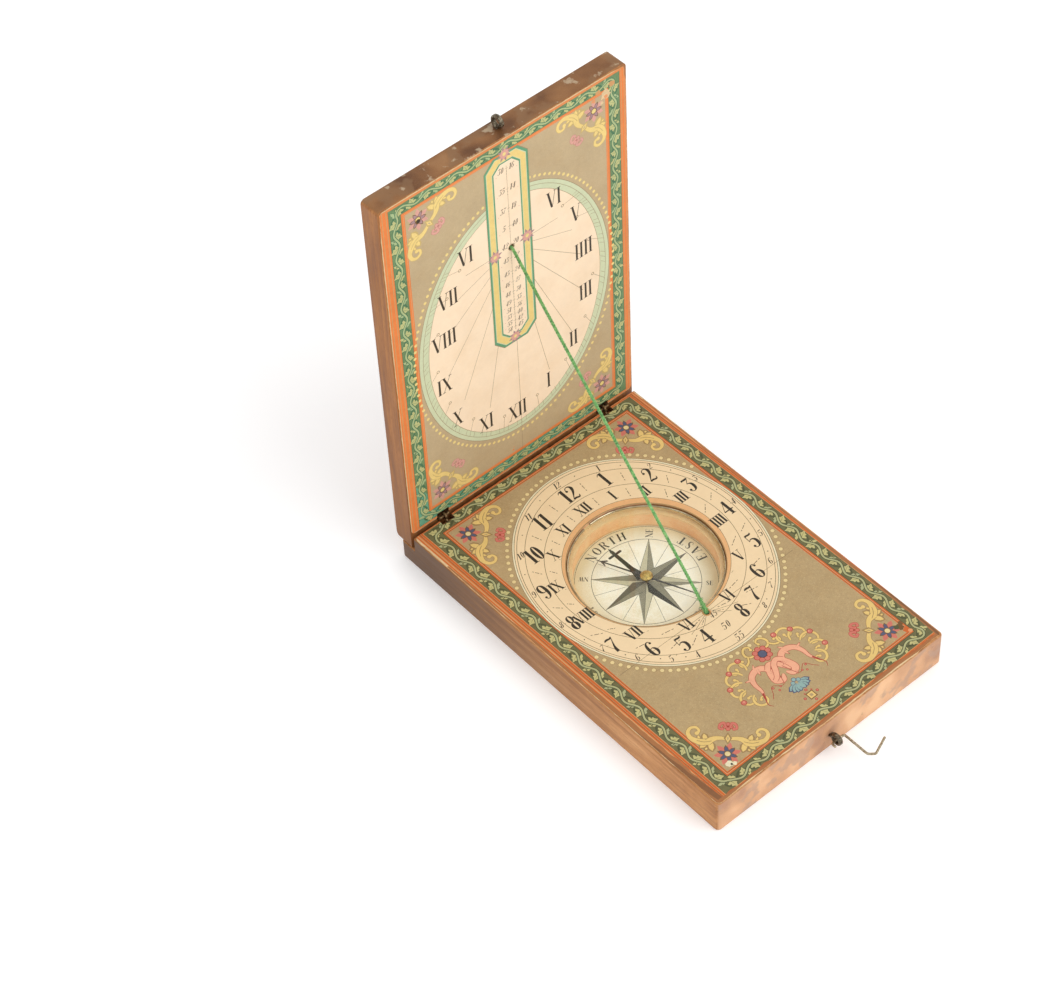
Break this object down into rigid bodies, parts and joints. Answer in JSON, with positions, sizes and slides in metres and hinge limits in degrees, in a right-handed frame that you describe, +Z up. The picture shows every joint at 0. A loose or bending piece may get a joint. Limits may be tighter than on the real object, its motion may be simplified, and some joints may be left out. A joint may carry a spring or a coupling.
{
  "type": "pocket sundial",
  "caption": "Folding wooden diptych pocket sundial with papered leaves, sunk compass, string gnomon, wire hinges and a hook latch.",
  "frame": {"origin": "centre of the lower leaf's underside", "axes": "+Z up, +Y towards the hinge, -Y towards the latch, +X to the right seen from the latch side"},
  "size_m": [0.075, 0.1293, 0.125],
  "materials": {
    "wood": "hand-planed fruitwood, worn and lightly stained",
    "dial_paper": "printed laid paper, hand coloured and varnished",
    "card_paper": "printed compass card",
    "well_paper": "salmon wash on paper",
    "glass": "thin blown glass",
    "brass": "dull aged brass",
    "wire": "dark tarnished iron wire",
    "needle_steel": "blued steel",
    "string": "twisted green thread"
  },
  "bodies": {
    "base": {"base_leaf": "wood", "base_paper": "dial_paper", "well_hoop": "well_paper", "compass_card": "card_paper", "needle_pivot": "brass", "compass_glass": "glass", "glass_ring": "brass", "base_hinge_eye_left": "wire", "base_hinge_eye_right": "wire", "hook_eye": "wire", "base_string_knot": "string", "gnomon_string": "string"},
    "lid": {"lid_leaf": "wood", "lid_paper": "dial_paper", "lid_hinge_staple_left": "wire", "lid_hinge_staple_right": "wire", "latch_eye": "wire", "lid_string_knot": "string"},
    "needle": {"compass_needle": "needle_steel", "needle_cap": "brass"},
    "hook": {"latch_hook": "wire"}
  },
  "joints": [
    {"name": "lid_hinge", "type": "hinge", "parent": "base", "child": "lid", "pos_m": [0, 0.0532, 0.0109], "axis": [1, 0, 0], "range_deg": [0, 90], "deforming": ["gnomon_string"]},
    {"name": "needle_spin", "type": "hinge", "parent": "base", "child": "needle", "pos_m": [-0.0002, 0.0071, 0.0055], "axis": [0, 0, 1], "continuous": true},
    {"name": "hook_swing", "type": "hinge", "parent": "base", "child": "hook", "pos_m": [0, -0.06019, 0.00422], "axis": [-1, 0, 0], "range_deg": [-28, 90]}
  ]
}
